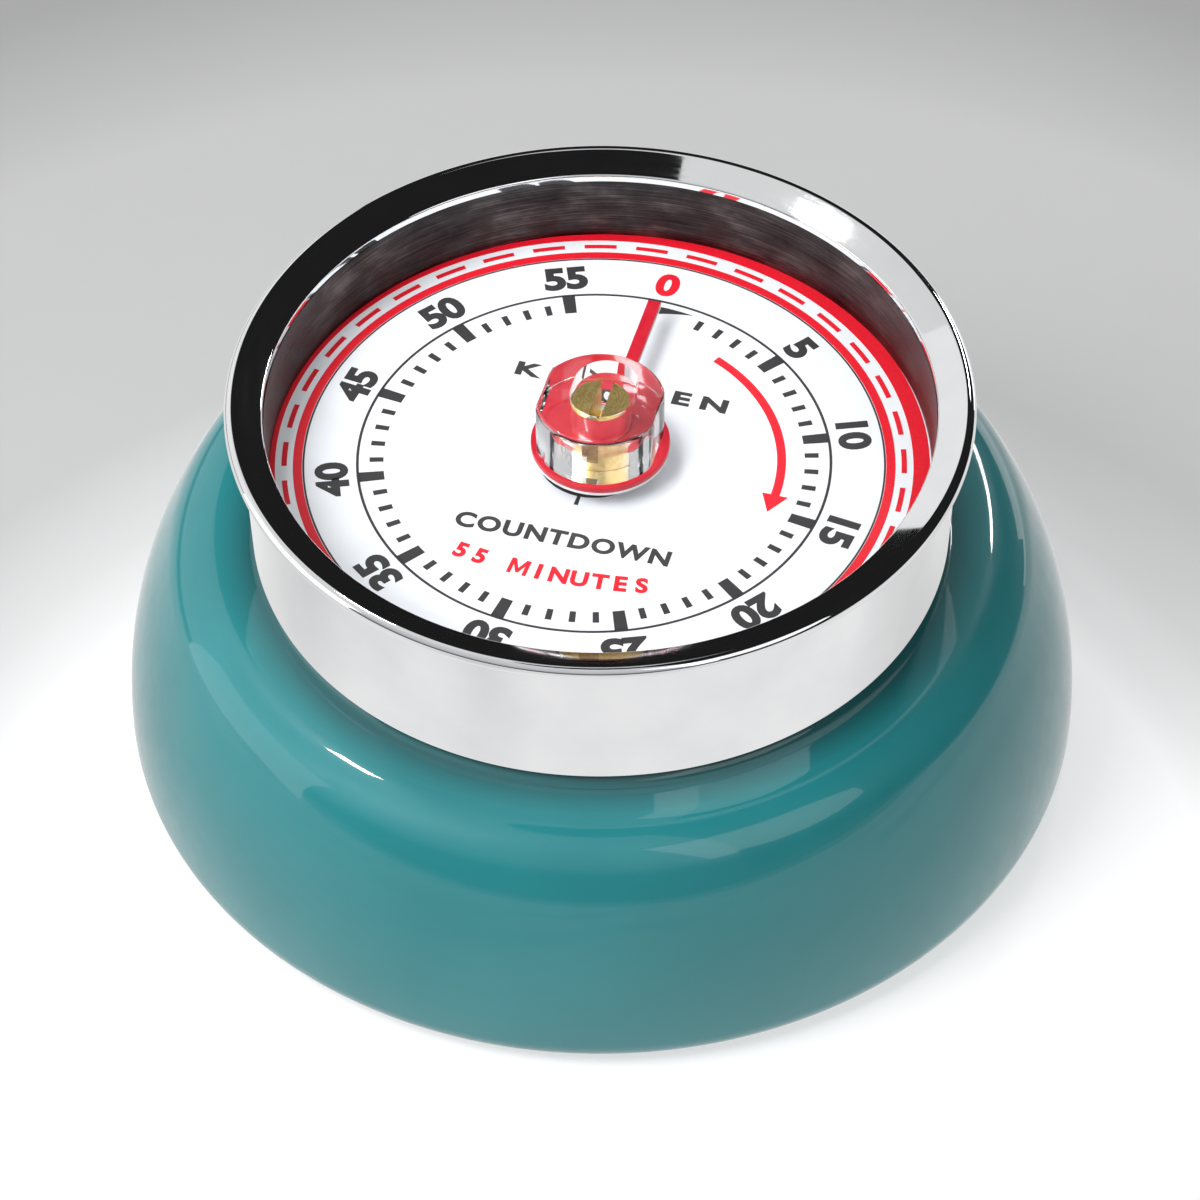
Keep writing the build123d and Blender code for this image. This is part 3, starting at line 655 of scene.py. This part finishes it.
def pointer_outline():
    """The disc with its finger, counterclockwise from the finger's right side."""
    half = POINTER_W / 2
    start = degrees(asin(half / POINTER_DISC_R))
    rim = [polar(POINTER_DISC_R, start + (360 - 2 * start) * i / 160) for i in range(161)]
    return rim[::-1] + [(half, POINTER_TIP), (-half, POINTER_TIP)]


def build_pointer(name, material, z0, z1, edge):
    hole = [polar(SHAFT_R, 360 * i / 64) for i in range(64)]
    mesh = rounded_plate([pointer_outline(), hole], z0, z1, edge)
    return finish_mesh(mesh, name, material, 30)


def knob_outline(shrink=0.0):
    """Circle with two shallow waists on X, its corners eased."""
    waist, half_across = 25.0, 4.2
    centre = half_across + waist
    points = []
    for i in range(256):
        t = 2 * pi * i / 256
        side = abs(cos(t))
        gap = waist**2 - (centre * sin(t)) ** 2
        flat = centre * side - sqrt(gap) if gap > 0 else 99.0
        ease = 0.3
        mix = max(ease - abs(KNOB_R - flat), 0.0) / ease
        r = min(KNOB_R, flat) - mix * mix * ease / 4 - shrink
        points.append((r * cos(t), r * sin(t)))
    return points


def slot_outline(length, width, centre_y, n=32):
    r = width / 2
    off = length / 2 - r
    top = [(r * cos(pi * i / n), centre_y + off + r * sin(pi * i / n)) for i in range(n + 1)]
    low = [(-r * cos(pi * i / n), centre_y - off - r * sin(pi * i / n)) for i in range(n + 1)]
    return top + low


def prism(name, outline, z0, z1):
    built = Builder()
    built.slab(outline, z0, z1)
    mesh = bpy.data.meshes.new(name)
    mesh.from_pydata([Vector(v) * MM for v in built.verts], [], built.faces)
    obj = bpy.data.objects.new(name, mesh)
    bpy.context.scene.collection.objects.link(obj)
    return obj


def build_knob(material):
    """Clear body, less the pocket at the top and the shaft's bore."""
    levels = [(0.10, KNOB_LOW + 0.04), (0.0, KNOB_LOW + 0.14)]
    edge = [pi / 2 * i / 6 for i in range(7)]
    levels += [(0.3 * (1 - cos(a)), KNOB_TOP - 0.3 + 0.3 * sin(a)) for a in edge]
    loops = [(knob_outline(shrink), z) for shrink, z in levels]
    n = len(loops[0][0])
    verts = [(x, y, z) for points, z in loops for x, y in points]
    faces = [list(range(n))[::-1], [len(verts) - n + i for i in range(n)]]
    for k in range(len(loops) - 1):
        low, high = k * n, (k + 1) * n
        faces += [[low + i, low + (i + 1) % n, high + (i + 1) % n, high + i] for i in range(n)]
    mesh = bpy.data.meshes.new("knob_body")
    mesh.from_pydata([Vector(v) * MM for v in verts], [], faces)
    body = bpy.data.objects.new("knob_body", mesh)
    bpy.context.scene.collection.objects.link(body)
    pocket = prism("pocket", slot_outline(5.7, 4.55, 1.0), KNOB_TOP - 1.2, KNOB_TOP + 1)
    circle = [polar(SHAFT_R + 0.03, -360 * i / 96) for i in range(96)]
    bore = prism("bore", circle, KNOB_LOW - 1, SHAFT_TOP + 0.02)
    for cutter in (pocket, bore):
        cut = body.modifiers.new("cut", "BOOLEAN")
        cut.operation = "DIFFERENCE"
        cut.solver = "EXACT"
        cut.object = cutter
    mesh = baked([body, pocket, bore])
    knob = finish_mesh(mesh, "knob_clear", material, 30)
    knob.visible_shadow = False
    knob.visible_diffuse = False
    return knob


# ------------------------------------------------------------ camera, floor and light
ELEVATION = radians(47.065)
AZIMUTH = radians(15.8)
ROLL = radians(-0.395)
LENS = 140.98
DISTANCE, SHIFT_RIGHT, SHIFT_UP = 334.64, -0.035, -10.031  # mm from the middle of the dial
# Radius in mm from the middle of the painted pool of light, and the floor's painted grey there
PAINTED_LIGHT_POOL = (
    (44, 0.44), (47.5, 0.37), (52.5, 0.3), (62, 0.228), (80, 0.218),
    (92, 0.215), (100, 0.187), (113, 0.145), (130, 0.15), (200, 0.21),
)


def camera_axes():
    back = Vector((sin(AZIMUTH) * cos(ELEVATION), -cos(AZIMUTH) * cos(ELEVATION), sin(ELEVATION)))
    right = Vector((cos(AZIMUTH), sin(AZIMUTH), 0))
    up = back.cross(right)
    return (cos(ROLL) * right + sin(ROLL) * up, cos(ROLL) * up - sin(ROLL) * right, back)


def add_camera():
    right, up, back = camera_axes()
    data = bpy.data.cameras.new("camera")
    data.lens = LENS
    data.sensor_width = 36.0
    data.clip_start, data.clip_end = 0.01, 20.0
    camera = bpy.data.objects.new("camera", data)
    turn = Matrix((right, up, back)).transposed().to_4x4()
    spot = Vector((0, 0, DIAL_Z)) + DISTANCE * back + SHIFT_RIGHT * right + SHIFT_UP * up
    camera.matrix_world = Matrix.Translation(spot * MM) @ turn
    bpy.context.scene.collection.objects.link(camera)
    bpy.context.scene.camera = camera


def around_camera(right, away, z):
    """A place in metres from millimetres to the right of, and away from, the camera's side."""
    x = right * cos(AZIMUTH) - away * sin(AZIMUTH)
    y = right * sin(AZIMUTH) + away * cos(AZIMUTH)
    return Vector((x, y, z)) * MM


def add_light(name, spot, target, size, power):
    data = bpy.data.lights.new(name, "AREA")
    data.shape = "RECTANGLE"
    data.size, data.size_y = size[0] * MM, size[1] * MM
    data.energy = power
    light = bpy.data.objects.new(name, data)
    light.location = spot
    light.rotation_mode = "QUATERNION"
    light.rotation_quaternion = (target - spot).to_track_quat("-Z", "Y")
    bpy.context.scene.collection.objects.link(light)
    return light


def dome(start, end, low, high, reach=400.0, n=16):
    """A patch of a dome over the timer: turns and rises in degrees, 0 to the camera's right, 90 away."""
    points = []
    for i in range(n + 1):
        turn = radians(start + (end - start) * i / n)
        for k in range(n + 1):
            rise = radians(low + (high - low) * k / n)
            flat = reach * cos(rise)
            points.append(around_camera(flat * cos(turn), flat * sin(turn), BEZEL_TOP + reach * sin(rise)))
    rows = [(i * (n + 1) + k, (i + 1) * (n + 1) + k) for i in range(n) for k in range(n)]
    return points, [[a, b, b + 1, a + 1] for a, b in rows]


def add_card(name, corners, bright, dim=None, faces=None):
    """A studio card that only shows in glossy surfaces, mottled from bright to dim."""
    mesh = bpy.data.meshes.new(name)
    mesh.from_pydata(corners, [], faces or [list(range(len(corners)))])
    material = bpy.data.materials.new(name)
    material.use_nodes = True
    material.node_tree.nodes.clear()
    glow = material.node_tree.nodes.new("ShaderNodeEmission")
    glow.inputs["Color"].default_value = (bright, bright, bright, 1)
    if dim is not None:
        tree = material.node_tree
        where = tree.nodes.new("ShaderNodeTexCoord")
        noise = tree.nodes.new("ShaderNodeTexNoise")
        noise.inputs["Scale"].default_value = 16.0
        ramp = tree.nodes.new("ShaderNodeValToRGB")
        for element, spot, grey in zip(ramp.color_ramp.elements, (0.36, 0.56), (dim, bright)):
            element.position = spot
            element.color = (grey, grey, grey, 1)
        tree.links.new(where.outputs["Object"], noise.inputs["Vector"])
        tree.links.new(noise.outputs["Fac"], ramp.inputs["Fac"])
        tree.links.new(ramp.outputs["Color"], glow.inputs["Color"])
    out = material.node_tree.nodes.new("ShaderNodeOutputMaterial")
    material.node_tree.links.new(glow.outputs[0], out.inputs["Surface"])
    mesh.materials.append(material)
    card = bpy.data.objects.new(name, mesh)
    bpy.context.scene.collection.objects.link(card)
    card.visible_camera = False
    card.visible_diffuse = False
    card.visible_shadow = False
    card.visible_transmission = False
    return card


def level(outline, z):
    """A level card's corners from its outline in camera-side plan."""
    return [around_camera(x, y, z) for x, y in outline]


def add_backdrop():
    """A pale wall far round the floor, only for the camera."""
    built, reach, n = Builder(), 1500.0, 96
    rim = [(reach * cos(2 * pi * i / n), reach * sin(2 * pi * i / n)) for i in range(n)]
    walls = [[i, (i + 1) % n, n + (i + 1) % n, n + i] for i in range(n)]
    built.add([(x, y, z) for z in (-1.0, 1400.0) for x, y in rim], walls)
    look = Look("backdrop")
    cloud = look.noise(look.place(), 0.002)
    look.tint(cloud, [(0.05, 0.05, 0.05), (0.06, 0.06, 0.06)])
    look.shader.inputs["Emission Color"].default_value = (1, 1, 1, 1)
    look.shader.inputs["Emission Strength"].default_value = 0.55
    wall = built.make("backdrop", look.material)
    for hidden in ("diffuse", "glossy", "transmission", "shadow"):
        setattr(wall, "visible_" + hidden, False)


def add_floor():
    n, size = 64, 3000.0
    built = Builder()
    rim = [(size * cos(2 * pi * i / n), size * sin(2 * pi * i / n)) for i in range(n)]
    built.add([(x, y, 0.0) for x, y in rim] + [(0.0, 0.0, 0.0)], [[i, (i + 1) % n, n] for i in range(n)])
    floor = built.make("floor", floor_painted_light_pool())


def add_world():
    world = bpy.data.worlds.new("studio")
    bpy.context.scene.world = world
    world.use_nodes = True
    tree = world.node_tree
    sky = tree.nodes["Background"]
    sky.inputs["Strength"].default_value = 1.0
    where = tree.nodes.new("ShaderNodeTexCoord")
    split = tree.nodes.new("ShaderNodeSeparateXYZ")
    tree.links.new(where.outputs["Generated"], split.inputs[0])
    ramp = tree.nodes.new("ShaderNodeValToRGB")
    tree.links.new(split.outputs["Z"], ramp.inputs["Fac"])
    tree.links.new(ramp.outputs["Color"], sky.inputs["Color"])
    stops = ((0.0, 0.10), (0.14, 0.10), (0.42, 0.52), (1.0, 0.66))
    while len(ramp.color_ramp.elements) < len(stops):
        ramp.color_ramp.elements.new(0.5)
    for element, (spot, grey) in zip(ramp.color_ramp.elements, stops):
        element.position = spot
        element.color = (0.97 * grey, 0.98 * grey, grey, 1)


# ------------------------------------------------------------ everything together
SLOTS = {
    "enamel": enamel(),
    "chrome": chrome(),
    "galvanised": scratched_wall(),
    "dial_white": dial_paint(),
    "bright_steel": metal("bright_steel", (0.62, 0.62, 0.63), (0.74, 0.74, 0.75), (0.2, 0.34), (0.3, 3, 1)),
    "steel": metal("steel", (0.42, 0.42, 0.43), (0.58, 0.58, 0.59), (0.3, 0.45)),
    "bell_steel": metal("bell_steel", (0.6, 0.6, 0.62), (0.7, 0.7, 0.71), (0.12, 0.22)),
    "magnet": sintered(),
    "brass_faced": turned_brass(),
    "brass": metal("brass", (0.47, 0.3, 0.07), (0.72, 0.53, 0.2), (0.22, 0.42), (1, 1, 0.4), 3.0, 0.012),
    "clear_acrylic": acrylic(),
    "red_paint": red_paint(),
    "black_plastic": plastic(),
}
WEARS = {
    "body_shell": "enamel",
    "bezel": "chrome",
    "wall_ring": "galvanised",
    "dial_plate": "dial_white",
    "base_plate": "bright_steel",
    "magnets": "magnet",
    "base_screws": "bright_steel",
    "bell": "bell_steel",
    "mainspring": "steel",
    "knob": "clear_acrylic",
    "pointer": "red_paint",
    "hub_sleeve": "black_plastic",
    "main_arbor": "brass_faced",
    "pallet_lever": "brass",
    "main_wheel": "brass",
    "second_wheel": "brass",
    "third_wheel": "brass",
    "escape_wheel": "brass",
    "ratchet_wheel": "brass",
    "front_plate": "brass",
    "back_plate": "brass",
    "plate_pillars": "brass",
}

for node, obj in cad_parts.items():
    obj.data.materials.clear()
    obj.data.materials.append(SLOTS[WEARS.get(node, "steel")])
    for polygon in obj.data.polygons:
        polygon.material_index = 0

made = [
    (build_shell(SLOTS["enamel"]), "case", "enamel", ["body_shell"]),
    (build_bezel(SLOTS["chrome"]), "case", "chrome", ["bezel"]),
    (build_wall(SLOTS["galvanised"]), "case", "galvanised", ["wall_ring"]),
    (print_black(ink("ink_black", (0.035, 0.033, 0.034))), "case", None, []),
    (print_words(ink("ink_words", (0.04, 0.038, 0.038))), "case", None, []),
    (print_red(ink("ink_red", (0.7, 0.006, 0.02))), "case", None, []),
    (
        build_pointer("pointer_hand", SLOTS["red_paint"], PAINT_Z, POINTER_TOP, 0.07),
        "knob_shaft",
        "red_paint",
        ["pointer"],
    ),
    (build_pointer("pointer_backing", pale_sheet(), POINTER_LOW, PAINT_Z, 0.03), "knob_shaft", None, []),
    (build_knob(SLOTS["clear_acrylic"]), "knob_shaft", "clear_acrylic", ["knob"]),
]
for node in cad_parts.values():
    node.visible_glossy = node.name in ("dial_plate", "main_arbor", "hub_sleeve")
made[0][0].visible_glossy = False  # the bezel's band mirrors the pale table rather than the case
for piece, body, slot, nodes in made:
    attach(piece, body)
    if nodes:
        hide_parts(*nodes)

add_camera()
add_floor()
add_backdrop()
add_world()
middle = Vector((0, 0, 0.015))
key = add_light("key", around_camera(-230, -120, 330), middle, (220, 220), 1.75)
key.visible_glossy = False
add_light("fill", around_camera(200, -220, 260), middle, (260, 260), 0.25)
add_light("strip", Vector((-0.079, 0.033, 0.195)), Vector((-0.009, -0.027, 0.018)), (18, 18), 0.06)
add_light("streak", around_camera(58.6, 94, 99.5), Vector((0.026, 0.0115, 0.018)), (8, 30), 0.02)
# The bezel's dished top mirrors these: pale to the camera's left, dark to its right and overhead
for name, patch, bright in (
    ("card_dark", (-60, 73, 0, 81), 0.012),
    ("card_dark_far", (72, 106, -2, 64), 0.012),
    ("card_dark_top", (0, 360, 79, 90, 405), 0.012),
    ("card_pale", (106, 197, 4, 42), 0.86),
    ("card_pale_high", (106, 197, 42, 80), 0.72),
):
    corners, faces = dome(*patch)
    add_card(name, corners, bright, faces=faces)
add_card("card_table", level([(500 * cos(t / 10), 500 * sin(t / 10)) for t in range(63)], 0.2), 0.85, 0.66)
window = ((-90, 5), (60, 5), (60, 150), (-90, 150))
add_card("card_window", [around_camera(-200, y, z) for y, z in window], 1.6)
back_wall = ((150, 5), (420, 5), (420, 95), (150, 95))
add_card("card_back", [around_camera(x, 250, z) for x, z in back_wall], 1.6)
bpy.context.scene.view_settings.view_transform = "Standard"
